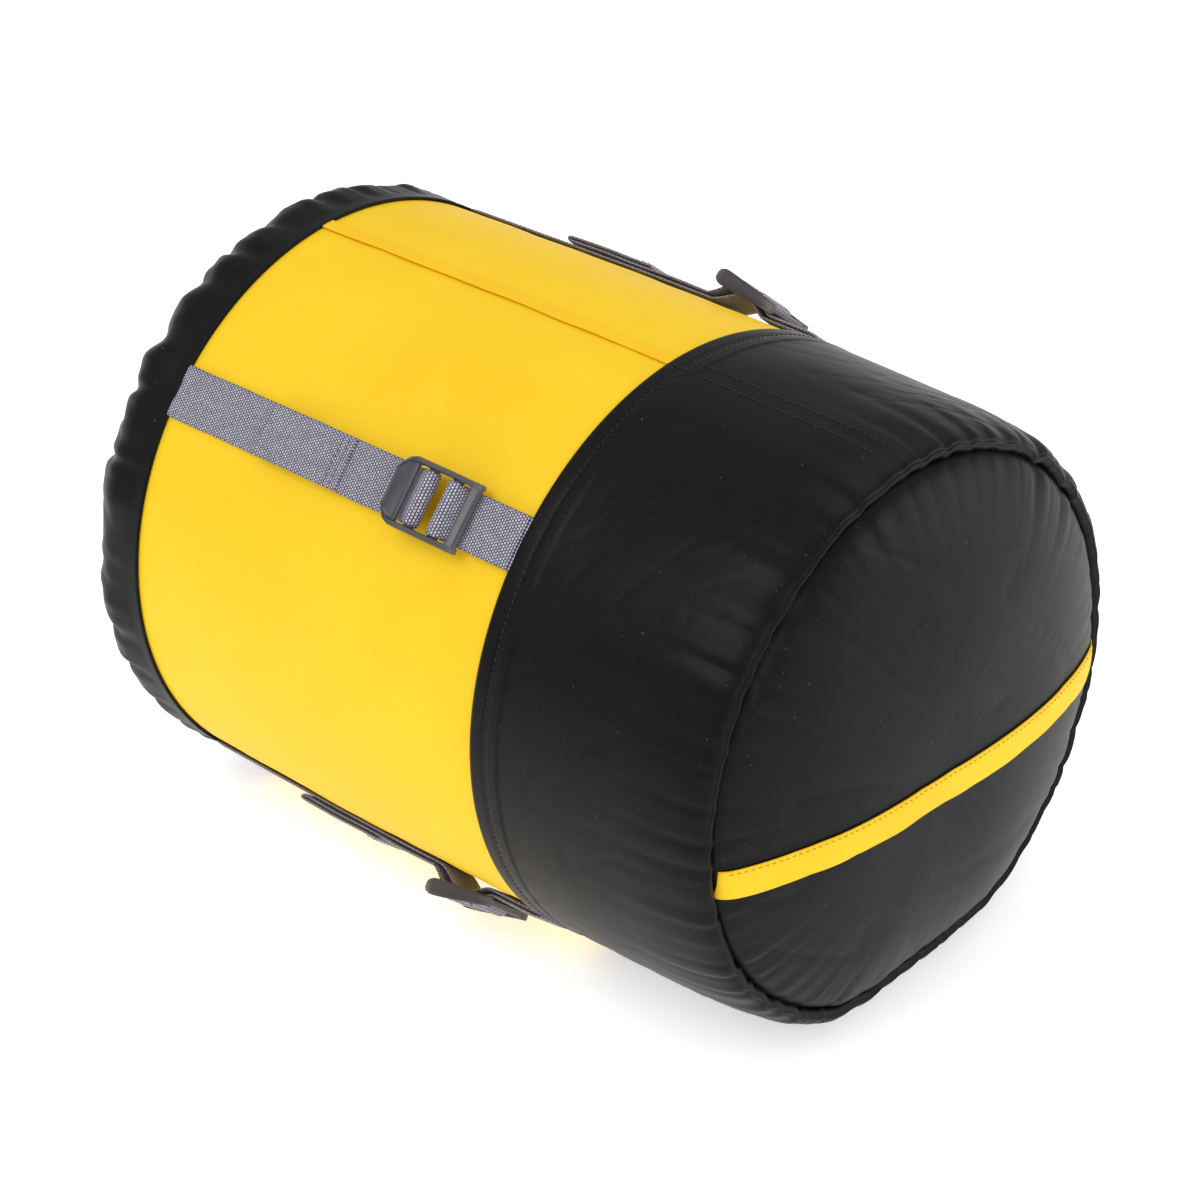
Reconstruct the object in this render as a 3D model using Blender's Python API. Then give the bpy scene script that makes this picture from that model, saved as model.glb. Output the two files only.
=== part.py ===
"""Compression sack lying on its side: axis along X, base panel towards +X, mouth towards -X."""
import math

import bmesh
import bpy
from mathutils import Vector

for item in list(bpy.data.objects):
    bpy.data.objects.remove(item, do_unlink=True)

mm = 0.001
touch_gap = 0.3 * mm        # left between pieces that touch

# Sack body
body_radius = 112 * mm      # outer radius at the collar seam
belly_rise = 1.5 * mm       # extra radius halfway along
sag_depth = 8 * mm          # how far the underside sags flat
tube_length = 176 * mm      # collar seam to sleeve hem
sleeve_length = 100 * mm    # sleeve hem to base seam
hem_lap = 12 * mm           # tube carried on under the sleeve
collar_lap = 6 * mm         # collar carried over the tube
fabric_wall = 1.0 * mm
corner_length = 36 * mm     # rounded end of the sleeve
corner_drop = 7 * mm
base_rise = 18 * mm         # bulge of the base panel
seam_recess = 1.5 * mm      # base seam pinched below the sleeve end
stripe_width = 11 * mm
stripe_drop = 6.2 * mm      # upper edge of the stripe below the axis
stripe_tilt = math.radians(-5)
side_seam_width = 6 * mm
side_seam_wall = 0.7 * mm

# Gathered collar and its drawcord
shoulder_depth = 26 * mm    # how far the gathered end stands past the collar seam
mouth_radius = 34 * mm      # circle that the drawcord follows
pleats = 16
segments = 4 * pleats       # facets round the sack, so that a collar fold lines up with them
pleat_height = 1.8 * mm
cord_radius = 1.5 * mm
channel_clearance = 1.4 * mm
exit_width = 17 * mm        # buttonhole where both cord ends leave the channel

# Cord lock
lock_wall = 1.5 * mm
lock_stand_off = 10 * mm    # cord lock axis past the gathered end
press_travel = 4 * mm
spring_wire = 0.3 * mm      # wire radius
spring_turns = 3

# Straps and ladder locks
webbing_width = 20 * mm
webbing_wall = 1.2 * mm
strap_angles = [math.radians(a) for a in (45, 135, 225, 315)]
hem_to_lock = 21 * mm
lock_tilt = math.radians(10)
end_bar = 4.2 * mm
entry_slot = 2.5 * mm + webbing_wall
fixed_bar = 3.4 * mm
see_through = 3.8 * mm      # open gap left between the two webbing turns
middle_bar = 3.2 * mm
tail_slot = 2.9 * mm
tab_length = 7.6 * mm
bar_half = 1.4 * mm
rail_width = 2.05 * mm
tail_end = 54 * mm          # collar seam to the folded end of the tail
tail_flap = 41 * mm         # end of the tail folded back and sewn

# Plain colours, one for each finish
black = (0.020, 0.020, 0.022)
yellow = (0.85, 0.55, 0.03)
grey = (0.24, 0.23, 0.28)
dark_plastic = (0.085, 0.083, 0.09)
steel = (0.6, 0.6, 0.62)

# Derived places
turn = webbing_wall + touch_gap
base_seam = tube_length + sleeve_length
axis_height = body_radius - sag_depth
lock_radius = 2 * cord_radius + touch_gap / 2 + 2.0 * mm + lock_wall
lock_axis = -(shoulder_depth + lock_stand_off)
shift = -(base_seam - seam_recess + base_rise + lock_axis - lock_radius) / 2


def spaced(low, high, steps):
    return [low + (high - low) * k / steps for k in range(steps + 1)]


def smooth(x):
    x = min(max(x, 0.0), 1.0)
    return x * x * (3 - 2 * x)


def sack_radius(s):
    """Outer radius of the sleeve and collar, s metres from the collar seam towards the base."""
    straight = base_seam - corner_length
    bulge = belly_rise * math.sin(math.pi * min(max(s / straight, 0), 1))
    q = min(max((s - straight) / corner_length, 0), 1)
    return body_radius + bulge - corner_drop * (1 - math.sqrt(1 - q * q))


def tube_radius(s):
    return sack_radius(s) - fabric_wall - touch_gap


def flat_level(skin):
    """How far below the axis a ring of this outer radius is pressed flat; small rings stay round."""
    share = min(skin / body_radius, 1)
    return min(axis_height, skin - sag_depth * share ** 3)


def on_ring(s, radius, angle, depth=0.0, outer=None):
    """A point on a ring whose underside is pressed flat; depth is its distance inside the skin."""
    skin = radius + depth if outer is None else outer
    level = flat_level(skin) - depth
    y = radius * math.cos(angle)
    z = max(radius * math.sin(angle), -level)
    return Vector((s + shift, y, z + axis_height))


def make_object(name, mesh_tool, color, roughness, sharp=35):
    mesh = bpy.data.meshes.new(name)
    bmesh.ops.recalc_face_normals(mesh_tool, faces=mesh_tool.faces)
    mesh_tool.to_mesh(mesh)
    mesh_tool.free()
    mesh.shade_smooth()
    mesh.set_sharp_from_angle(angle=math.radians(sharp))
    item = bpy.data.objects.new(name, mesh)
    bpy.context.collection.objects.link(item)
    item.data.materials.append(make_material(name, color, roughness))
    return item


def make_material(name, color, roughness, metallic=0.0):
    material = bpy.data.materials.new(name)
    material.use_nodes = True
    shader = material.node_tree.nodes["Principled BSDF"]
    shader.inputs["Base Color"].default_value = (*color, 1)
    shader.inputs["Roughness"].default_value = roughness
    shader.inputs["Metallic"].default_value = metallic
    return material


def loft(rings, closed_around, capped):
    """Quads between rings of points; closed_around joins the last ring to the first."""
    tool = bmesh.new()
    grid = [[tool.verts.new(point) for point in ring] for ring in rings]
    count = len(grid[0])
    pairs = list(zip(grid, grid[1:] + grid[:1])) if closed_around else list(zip(grid, grid[1:]))
    for first, second in pairs:
        for i in range(count):
            j = (i + 1) % count
            tool.faces.new((first[i], first[j], second[j], second[i]))
    if capped:
        tool.faces.new(grid[0][::-1])
        tool.faces.new(grid[-1])
    return tool


def thicken(line, wall):
    """Both sides of a centre line of (s, radius) pairs, as one closed section."""
    outer = []
    inner = []
    for i, point in enumerate(line):
        before = Vector(line[max(i - 1, 0)])
        after = Vector(line[min(i + 1, len(line) - 1)])
        along = (after - before).normalized()
        side = Vector((-along.y, along.x)) * wall / 2
        outer.append(tuple(Vector(point) + side))
        inner.append(tuple(Vector(point) - side))
    return outer + inner[::-1]


def add_cutter(name, low, high):
    tool = bmesh.new()
    bmesh.ops.create_cube(tool, size=1)
    for vert in tool.verts:
        vert.co = Vector(low[i] if vert.co[i] < 0 else high[i] for i in range(3))
    cutter = make_object(name, tool, grey, 0.5)
    cutter.hide_render = True
    cutter.display_type = "WIRE"
    return cutter


def cut(item, cutter):
    modifier = item.modifiers.new(cutter.name, "BOOLEAN")
    modifier.operation = "DIFFERENCE"
    modifier.solver = "EXACT"
    modifier.object = cutter


def turned_shell(name, stations, radius_at, color):
    """A fabric shell with its skin at radius_at(s) and one wall thickness."""
    rings = []
    for k in range(segments):
        angle = 2 * math.pi * k / segments
        outer = [on_ring(s, radius_at(s), angle) for s in stations]
        inner = [on_ring(s, radius_at(s) - fabric_wall, angle, fabric_wall) for s in stations]
        rings.append(outer + inner[::-1])
    return make_object(name, loft(rings, True, False), color, 0.7)


def build_tube():
    stations = [(tube_length + hem_lap) * k / 5 for k in range(6)]
    rings = []
    lift = fabric_wall + touch_gap
    for k in range(segments):
        angle = 2 * math.pi * k / segments
        outer = [on_ring(s, tube_radius(s), angle, lift, sack_radius(s)) for s in stations]
        inner = [on_ring(s, tube_radius(s) - fabric_wall, angle, lift + fabric_wall, sack_radius(s))
                 for s in stations]
        rings.append(outer + inner[::-1])
    make_object("body_tube", loft(rings, True, False), yellow, 0.65)


def build_sleeve():
    straight = base_seam - corner_length
    stations = [tube_length + (straight - tube_length) * k / 3 for k in range(4)]
    stations += [straight + corner_length * math.sin(math.radians(a)) for a in (20, 40, 58, 75, 90)]
    turned_shell("base_sleeve", stations, sack_radius, black)


def panel_rim(angle):
    """The base seam's flattened circle, as a direction from the axis."""
    radius = sack_radius(base_seam) - fabric_wall - touch_gap
    level = flat_level(sack_radius(base_seam)) - fabric_wall - touch_gap
    return Vector((radius * math.cos(angle), max(radius * math.sin(angle), -level)))


def dome_point(share, angle, lift=0.0):
    rim = panel_rim(angle) * share
    s = base_seam - seam_recess + base_rise * (1 - share ** 3) + lift
    return Vector((s + shift, rim.x, rim.y + axis_height))


def on_dome(along, across, lift):
    """A point on the base panel: along the stripe, and above it, measured from the axis."""
    y = along * math.cos(stripe_tilt) - across * math.sin(stripe_tilt)
    z = along * math.sin(stripe_tilt) + across * math.cos(stripe_tilt)
    angle = math.atan2(z, y)
    share = math.hypot(y, z) / panel_rim(angle).length
    return dome_point(share, angle, lift)


def build_panels():
    shares = [1.0, 0.93, 0.82, 0.65, 0.42]
    for name, keeps_upper in (("base_panel_upper", True), ("base_panel_lower", False)):
        tool = bmesh.new()
        skins = []
        for lift in (0.0, -fabric_wall):
            grid = [[tool.verts.new(dome_point(share, 2 * math.pi * k / segments, lift))
                     for k in range(segments)] for share in shares]
            top = tool.verts.new(dome_point(0.0, 0.0, lift))
            for outer, inner in zip(grid, grid[1:]):
                for k in range(segments):
                    j = (k + 1) % segments
                    tool.faces.new((outer[k], outer[j], inner[j], inner[k]))
            for k in range(segments):
                tool.faces.new((grid[-1][k], grid[-1][(k + 1) % segments], top))
            skins.append(grid[0])
        for k in range(segments):
            j = (k + 1) % segments
            tool.faces.new((skins[0][k], skins[0][j], skins[1][j], skins[1][k]))
        panel = make_object(name, tool, black, 0.6)
        reach = 2 * body_radius
        edge = -stripe_drop + (touch_gap / 2 if keeps_upper else -touch_gap / 2)
        low = -reach if keeps_upper else edge
        high = edge if keeps_upper else reach
        cutter = add_cutter(name + "_cutter", (-reach, -reach, low), (reach * 3, reach, high))
        cutter.rotation_euler.x = stripe_tilt
        cutter.location.z = axis_height
        cut(panel, cutter)


def build_stripe():
    rim = panel_rim(0).x
    half = math.sqrt(rim ** 2 - (stripe_drop + stripe_width) ** 2) - 1.5 * mm
    rings = []
    for k in range(13):
        along = half * (2 * k / 12 - 1)
        upper = -stripe_drop
        lower = -stripe_drop - stripe_width
        ring = []
        centre = (upper + lower) / 2
        section = ((upper, 0.5), (lower, 0.5), (lower, 1.3), (centre, 1.35), (upper, 1.3))
        for across, lift in section:
            ring.append(on_dome(along, across, lift * mm))
        rings.append(ring)
    make_object("base_stripe", loft(rings, False, True), yellow, 0.6)


def collar_line():
    """Centre line of the collar fabric, from its seam over the shoulder to the cord channel."""
    half = fabric_wall / 2
    rim = body_radius - half
    line = [(collar_lap, sack_radius(collar_lap) - half), (0, rim)]
    start = -0.2 * shoulder_depth
    for a in (15, 35, 55, 72, 90):
        q = math.radians(a)
        s = start - (shoulder_depth - half + start) * math.sin(q)
        line.append((s, rim - 0.2 * body_radius * (1 - math.cos(q))))
    loop = cord_radius + channel_clearance + half
    centre_s = -shoulder_depth + half + loop
    line.append((-shoulder_depth + half + 0.5 * mm, (mouth_radius + 0.8 * body_radius) / 2))
    for k in range(10):
        q = math.radians(50 - 32 * k)
        line.append((centre_s - loop * math.cos(q), mouth_radius + loop * math.sin(q)))
    return line


def build_collar():
    line = collar_line()
    section = thicken(line, fabric_wall)
    count = len(line)
    rings = []
    for k in range(segments):
        angle = 2 * math.pi * k / segments
        ring = []
        for i, (s, radius) in enumerate(section):
            place = i if i < count else 2 * count - 1 - i
            rise = smooth(-line[place][0] / (0.5 * shoulder_depth))
            fade = smooth((line[place][1] - mouth_radius - 7 * mm) / (12 * mm))
            wave = pleat_height * math.cos(pleats * angle) * rise * fade
            depth = 0.0 if i < count else fabric_wall
            ring.append(on_ring(s + wave, radius - 0.3 * abs(wave), angle, depth))
        rings.append(ring)
    collar = make_object("collar", loft(rings, True, False), black, 0.6)
    low = (-shoulder_depth - 6 * mm + shift, -exit_width / 2, axis_height + mouth_radius - 4 * mm)
    high = (-shoulder_depth + 3 * mm + shift, exit_width / 2, axis_height + mouth_radius + 8 * mm)
    cut(collar, add_cutter("cord_exit_cutter", low, high))


def cord_centre():
    return -shoulder_depth + fabric_wall + cord_radius + channel_clearance


def build_drawcord():
    """One cord round the mouth, with both ends through the cord lock."""
    pitch = cord_radius + touch_gap / 2
    ring_s = cord_centre()
    up = mouth_radius
    lock_low = up + 12 * mm
    route_a = [(lock_axis + pitch, 0.0, lock_top() + 1 * mm), (lock_axis + pitch, 0.0, lock_low)]
    route_a += [(lock_axis + pitch + 0.4 * mm, 0.3 * mm, up + 8 * mm)]
    route_a += [((lock_axis + ring_s) / 2 + 1 * mm, 3.2 * mm, up + 2.5 * mm)]
    route_b = [(lock_axis - pitch, 0.0, lock_top() + 1 * mm), (lock_axis - pitch, 0.0, lock_low)]
    route_b += [(lock_axis - pitch + 0.2 * mm, -0.3 * mm, up + 8 * mm)]
    route_b += [((lock_axis + ring_s) / 2 - 0.5 * mm, -3.6 * mm, up + 2.5 * mm)]
    first = math.asin(7.5 * mm / mouth_radius)
    ring = []
    steps = 40
    for k in range(steps + 1):
        angle = math.pi / 2 - first - (2 * math.pi - 2 * first) * k / steps
        ring.append((ring_s, mouth_radius * math.cos(angle), mouth_radius * math.sin(angle)))
    points = route_a + ring + route_b[::-1]
    curve = bpy.data.curves.new("drawcord", "CURVE")
    curve.dimensions = "3D"
    curve.bevel_depth = cord_radius
    curve.bevel_resolution = 2
    curve.use_fill_caps = True
    spline = curve.splines.new("POLY")
    spline.points.add(len(points) - 1)
    for target, (s, y, z) in zip(spline.points, points):
        target.co = (s + shift, y, z + axis_height, 1)
    item = bpy.data.objects.new("drawcord", curve)
    bpy.context.collection.objects.link(item)
    curve.materials.append(make_material("drawcord", black, 0.7))


def lock_centre():
    return mouth_radius + 12 * mm + lock_radius


def lock_top():
    return lock_centre() + lock_radius


def turned_y(name, profile, color, roughness, sides=24):
    """A piece turned about the cord lock's axis, which runs along Y; profile holds (y, radius)."""
    rings = []
    for y, radius in profile:
        ring = []
        for k in range(sides):
            angle = 2 * math.pi * k / sides
            x = lock_axis + shift + radius * math.cos(angle)
            ring.append((x, y, axis_height + lock_centre() + radius * math.sin(angle)))
        rings.append(ring)
    return make_object(name, loft(rings, False, True), color, roughness)


def build_cord_lock():
    """Spring cord lock: pressing the button lines both cross slots up and frees the cord."""
    half_slot = cord_radius + touch_gap
    side_slot = 2 * cord_radius + touch_gap / 2 + 0.35 * mm
    bore = lock_radius - lock_wall
    wall = 1.2 * mm
    rim = half_slot + press_travel + 0.2 * mm
    solid_spring = 2 * spring_wire * (spring_turns + 0.6)
    plunger_low = -half_slot - wall
    floor = plunger_low - press_travel - solid_spring - 2 * touch_gap
    outside = floor - lock_wall
    round_edge = 1.2 * mm
    barrel = turned_y("cord_lock_barrel", [
        (outside, lock_radius - round_edge), (outside + round_edge, lock_radius),
        (rim - 0.6 * mm, lock_radius), (rim, lock_radius - 0.5 * mm), (rim, bore),
        (floor, bore), (floor, bore * 0.5)], dark_plastic, 0.4)
    high_z = axis_height + lock_centre() + 2 * lock_radius
    low_z = high_z - 4 * lock_radius
    centre_x = lock_axis + shift
    slot_low = (centre_x - side_slot, -half_slot - press_travel, low_z)
    slot_high = (centre_x + side_slot, half_slot, high_z)
    cut(barrel, add_cutter("barrel_slot_cutter", slot_low, slot_high))
    fit = bore - touch_gap
    top = rim + press_travel + 1 * mm
    plunger = turned_y("cord_lock_button", [
        (plunger_low, fit - 0.5 * mm), (plunger_low + 0.5 * mm, fit), (top - round_edge, fit),
        (top - 0.3 * mm, fit - 0.6 * mm), (top, fit - 1.6 * mm)], dark_plastic, 0.4)
    slot_low = (centre_x - side_slot, -half_slot, low_z)
    slot_high = (centre_x + side_slot, half_slot + press_travel, high_z)
    cut(plunger, add_cutter("button_slot_cutter", slot_low, slot_high))
    low = floor + touch_gap + spring_wire
    high = plunger_low - touch_gap - spring_wire
    rings = []
    steps = spring_turns * 12
    coil = 0.6 * bore
    lengthwise = Vector((0, 1, 0))
    for k, y in enumerate(spaced(low, high, steps)):
        angle = 2 * math.pi * spring_turns * k / steps
        out = Vector((math.cos(angle), 0, math.sin(angle)))
        centre = Vector((centre_x, y, axis_height + lock_centre())) + coil * out
        ring = []
        for j in range(6):
            q = 2 * math.pi * j / 6
            ring.append(centre + spring_wire * (math.cos(q) * out + math.sin(q) * lengthwise))
        rings.append(ring)
    spring = make_object("cord_lock_spring", loft(rings, False, True), steel, 0.3)
    spring.data.materials[0].node_tree.nodes["Principled BSDF"].inputs["Metallic"].default_value = 1.0


def build_knot():
    """The two cord ends tied together above the cord lock."""
    tool = bmesh.new()
    bmesh.ops.create_icosphere(tool, subdivisions=2, radius=1)
    radius = 2.9 * cord_radius
    cord_top = lock_top() + 1 * mm
    centre = Vector((lock_axis + shift, 0, axis_height + cord_top + touch_gap + 0.9 * radius))
    for vert in tool.verts:
        x, y, z = vert.co * radius
        vert.co = centre + Vector((x, y * 0.75, z * 0.9))
    make_object("cord_knot", tool, black, 0.7, 80)


def strip(name, path, width, wall, angle, color):
    """A flat band: path is its centre line as (s, radius) pairs, at one angle round the sack."""
    outward = Vector((0, math.cos(angle), math.sin(angle)))
    across = Vector((0, -math.sin(angle), math.cos(angle)))
    section = thicken(path, wall)
    count = len(path)
    rings = []
    for i in range(count):
        pair = (section[i], section[2 * count - 1 - i])
        ring = []
        for (s, radius), side in ((pair[0], 1), (pair[0], -1), (pair[1], -1), (pair[1], 1)):
            centre = Vector((s + shift, 0, axis_height)) + outward * radius
            ring.append(centre + across * side * width / 2)
        rings.append(ring)
    return make_object(name, loft(rings, False, True), color, 0.8, 50)


def lock_point(u, lift, base):
    """A place in a ladder lock: u from its hem end towards the tab, lift above its mid plane."""
    from_pivot = u - fixed_u
    s = base[0] - from_pivot * math.cos(lock_tilt) + lift * math.sin(lock_tilt)
    radius = base[1] + from_pivot * math.sin(lock_tilt) + lift * math.cos(lock_tilt)
    return s, radius


fixed_u = end_bar + entry_slot + fixed_bar / 2
middle_slot = 2 * turn + see_through
middle_u = fixed_u + fixed_bar / 2 + middle_slot + middle_bar / 2
tab_u = middle_u + middle_bar / 2 + turn + tail_slot
lock_length = tab_u + tab_length
legs_top = 2 * turn + touch_gap + 0.1 * mm
pivot_s = tube_length - hem_to_lock - fixed_u * math.cos(lock_tilt)
pivot_lift = legs_top + fixed_u * math.sin(lock_tilt) + bar_half * math.cos(lock_tilt)
pivot = (pivot_s, tube_radius(pivot_s) + pivot_lift)
middle = lock_point(middle_u, 0, pivot)


def arc(centre, radius, start, end, steps):
    points = []
    for k in range(steps + 1):
        q = math.radians(start + (end - start) * k / steps)
        points.append((centre[0] + radius * math.cos(q), centre[1] + radius * math.sin(q)))
    return points


def layer(s, number):
    """Radius of the middle of a webbing layer lying on the tube; layer 0 is the lowest."""
    return tube_radius(s) + touch_gap + webbing_wall / 2 + number * turn


def build_straps(number, angle):
    loop_radius = fixed_bar / 2 + touch_gap + webbing_wall / 2
    hem = tube_length - touch_gap
    loop_path = [(hem, layer(hem, 0)), (pivot[0] + 4 * mm, layer(pivot[0], 0))]
    loop_path += arc(pivot, loop_radius, 262, 8, 9)
    loop_path += [(pivot[0] + 5.6 * mm, layer(pivot[0], 1) + 0.5 * mm)]
    loop_path += [(pivot[0] + 8 * mm, layer(pivot[0], 1)), (hem, layer(hem, 1))]
    strip("anchor_loop_%d" % number, loop_path, webbing_width, webbing_wall, angle, grey)

    run_end = middle[0] - 9 * mm
    run_start = collar_lap + touch_gap
    run_path = [(s, layer(s, 0)) for s in spaced(run_start, run_end, 8)]
    strip("strap_run_%d" % number, run_path, webbing_width, webbing_wall, angle, grey)

    turn_radius = middle_bar / 2 + touch_gap + webbing_wall / 2
    tail_start = middle[0] - 12 * mm
    wrap_path = [(run_end + touch_gap, layer(run_end, 0))]
    wrap_path += [(run_end + 3 * mm, layer(run_end, 0) + 1.0 * mm)]
    wrap_path += arc(middle, turn_radius, -60, 150, 9)
    wrap_path += [(tail_start + 3 * mm, layer(tail_start, 1) + 1.6 * mm)]
    wrap_path += [(tail_start + touch_gap, layer(tail_start, 1))]
    strip("strap_wrap_%d" % number, wrap_path, webbing_width, webbing_wall, angle, grey)

    fold = (tail_end + webbing_wall, layer(tail_end, 1.5))
    flap_end = tail_end + tail_flap
    reach = spaced(tail_start, fold[0], 4)
    tail_path = [(s, layer(s, 1)) for s in reach[:-1]] + arc(fold, turn / 2, 270, 90, 6)
    tail_path += [(s, layer(s, 2)) for s in (reach[-2], flap_end)]
    strip("strap_tail_%d" % number, tail_path, webbing_width, webbing_wall, angle, grey)


def lock_height(u, side):
    """Half thickness of a ladder lock at u along it and side across it."""
    rail_inner = webbing_width / 2 + 0.7 * mm
    outer = rail_inner + rail_width
    swell = 1.9 * mm + 1.2 * mm * smooth(u / tab_u)
    if u > tab_u:
        swell *= 1 - 0.62 * smooth((u - tab_u) / tab_length)
    if side > rail_inner - 0.1 * mm:
        edge = 1.0
        if side > outer - 0.1 * mm:
            edge = 0.55
        elif side < rail_inner + 0.1 * mm:
            edge = 0.75
        return swell * edge
    return min(bar_half, swell)


def ladder_lock_mesh():
    """A ladder of four bars between two rails, as a grid of cells with three slots left out."""
    inner = webbing_width / 2 + 0.7 * mm
    outer = inner + rail_width
    sides = [inner - 0.4 * mm, inner, inner + 0.3 * mm, outer - 0.4 * mm, outer]
    sides = [-s for s in reversed(sides)] + sides
    bars = [(0, end_bar), (fixed_u - fixed_bar / 2, fixed_u + fixed_bar / 2)]
    bars += [(middle_u - middle_bar / 2, middle_u + middle_bar / 2)]
    rows = []
    for low, high in bars:
        width = high - low
        rows += [(low, 0.55, True), (low + 0.25 * width, 1, True)]
        rows += [(high - 0.25 * width, 1, True), (high, 0.55, False)]
    rows += [(tab_u, 0.55, True)]
    rows += [(tab_u + tab_length * share, 1, True) for share in (0.15, 0.5, 0.8)]
    rows += [(lock_length, 0.8, False)]
    tool = bmesh.new()
    top = {}
    bottom = {}
    for i, (u, rounding, _) in enumerate(rows):
        share = max((u - tab_u) / tab_length, 0)
        narrow = 1 - 0.48 * share ** 2.5
        for j, side in enumerate(sides):
            height = lock_height(u, abs(side))
            if abs(side) < inner - 0.1 * mm or u > tab_u:
                height *= rounding
            v = side * narrow
            top[i, j] = tool.verts.new((u, v, height))
            bottom[i, j] = tool.verts.new((u, v, -height))
    last = len(sides) - 1
    cells = set()
    for i in range(len(rows) - 1):
        for j in range(last):
            is_rail = j < 3 or j >= last - 3
            if rows[i][2] or is_rail:
                cells.add((i, j))
    for i, j in sorted(cells):
        corners = [(i, j), (i + 1, j), (i + 1, j + 1), (i, j + 1)]
        tool.faces.new([top[c] for c in corners])
        tool.faces.new([bottom[c] for c in reversed(corners)])
        beyond = [(i, j - 1), (i + 1, j), (i, j + 1), (i - 1, j)]
        for a in range(4):
            if beyond[a] not in cells:
                one = corners[a]
                two = corners[(a + 1) % 4]
                tool.faces.new((top[one], bottom[one], bottom[two], top[two]))
    return tool


def build_lock(number, angle):
    outward = Vector((0, math.cos(angle), math.sin(angle)))
    across = Vector((0, -math.sin(angle), math.cos(angle)))
    tool = ladder_lock_mesh()
    for vert in tool.verts:
        u, side, lift = vert.co
        s, radius = lock_point(u, lift, pivot)
        vert.co = Vector((s + shift, 0, axis_height)) + outward * radius + across * side
    loose = [vert for vert in tool.verts if not vert.link_faces]
    bmesh.ops.delete(tool, geom=loose, context="VERTS")
    make_object("ladder_lock_%d" % number, tool, dark_plastic, 0.4, 40)


def build_side_seam():
    start = collar_lap + touch_gap
    end = tube_length - touch_gap
    lift = touch_gap + side_seam_wall / 2
    path = [(s, tube_radius(s) + lift) for s in spaced(start, end, 6)]
    strip("side_seam", path, side_seam_width, side_seam_wall, math.pi / 2, yellow)


build_tube()
build_side_seam()
build_sleeve()
build_panels()
build_stripe()
build_collar()
build_drawcord()
build_cord_lock()
build_knot()
for strap_number, strap_angle in enumerate(strap_angles, 1):
    build_straps(strap_number, strap_angle)
    build_lock(strap_number, strap_angle)
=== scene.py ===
import math

import bmesh
import bpy
from mathutils import Matrix, Vector, noise


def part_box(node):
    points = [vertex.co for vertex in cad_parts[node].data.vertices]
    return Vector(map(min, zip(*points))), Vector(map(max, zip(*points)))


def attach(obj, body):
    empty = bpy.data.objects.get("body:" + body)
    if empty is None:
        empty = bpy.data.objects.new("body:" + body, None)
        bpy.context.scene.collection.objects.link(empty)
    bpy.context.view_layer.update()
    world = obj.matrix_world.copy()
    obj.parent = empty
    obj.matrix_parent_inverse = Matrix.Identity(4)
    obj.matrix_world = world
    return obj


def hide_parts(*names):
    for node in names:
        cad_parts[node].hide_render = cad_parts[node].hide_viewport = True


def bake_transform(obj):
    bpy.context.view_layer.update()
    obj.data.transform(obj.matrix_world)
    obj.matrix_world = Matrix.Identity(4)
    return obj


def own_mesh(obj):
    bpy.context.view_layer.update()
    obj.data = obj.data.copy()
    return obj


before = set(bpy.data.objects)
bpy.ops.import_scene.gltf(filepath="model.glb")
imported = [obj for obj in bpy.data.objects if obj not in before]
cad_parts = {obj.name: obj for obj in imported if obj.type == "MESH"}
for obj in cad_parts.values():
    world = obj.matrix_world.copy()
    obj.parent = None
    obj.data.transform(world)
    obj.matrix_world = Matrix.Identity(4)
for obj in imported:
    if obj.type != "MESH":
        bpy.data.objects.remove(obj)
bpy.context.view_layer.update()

mm = 0.001

# Places read from the frame
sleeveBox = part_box("base_sleeve")
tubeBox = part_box("body_tube")
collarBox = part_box("collar")
hemX = sleeveBox[0].x
baseX = sleeveBox[1].x
mouthSeamX = tubeBox[0].x
collarEdgeX = collarBox[1].x
axisZ = 0.104
strapAngles = [math.radians(a) for a in (45, 135, 225, 315)]


# Camera
cameraSetup = {
    "azimuth": -44.64,       # degrees, 0 looks along +Y
    "elevation": 33.65,      # degrees above the ground
    "distance": 1.4497,      # metres from the target
    "roll": -4.73,           # degrees
    "targetX": 0.0057,       # metres along the sack
    "targetZ": 0.1002,       # metres above the ground
    "lens": 120,             # mm on a 36 mm sensor
}


def addCamera(setup):
    azimuth = math.radians(setup["azimuth"])
    elevation = math.radians(setup["elevation"])
    target = Vector((setup["targetX"], 0, setup["targetZ"]))
    out = Vector((math.cos(elevation) * math.cos(azimuth), math.cos(elevation) * math.sin(azimuth),
                  math.sin(elevation)))
    camera = bpy.data.objects.new("camera", bpy.data.cameras.new("camera"))
    camera.data.lens = setup["lens"]
    camera.data.sensor_width = 36
    camera.data.clip_end = 20
    roll = Matrix.Rotation(math.radians(setup["roll"]), 4, "Z").to_quaternion()
    turn = ((-out).to_track_quat("-Z", "Y") @ roll).to_matrix().to_4x4()
    camera.matrix_world = Matrix.Translation(target + out * setup["distance"]) @ turn
    bpy.context.collection.objects.link(camera)
    bpy.context.scene.camera = camera


addCamera(cameraSetup)
print("camera done")


# Helpers
def linear(hexColor):
    parts = [int(hexColor[i:i + 2], 16) / 255 for i in (1, 3, 5)]
    return tuple(p / 12.92 if p <= 0.04045 else ((p + 0.055) / 1.055) ** 2.4 for p in parts) + (1,)


def smooth(x):
    x = min(max(x, 0.0), 1.0)
    return x * x * (3 - 2 * x)


def meshObject(name, points, faces, along=None):
    mesh = bpy.data.meshes.new(name)
    mesh.from_pydata(points, [], faces)
    mesh.shade_smooth()
    if along:
        weave = mesh.attributes.new("weave", "FLOAT_VECTOR", "POINT")
        weave.data.foreach_set("vector", [value for triple in along for value in triple])
    item = bpy.data.objects.new(name, mesh)
    bpy.context.collection.objects.link(item)
    return item


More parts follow.
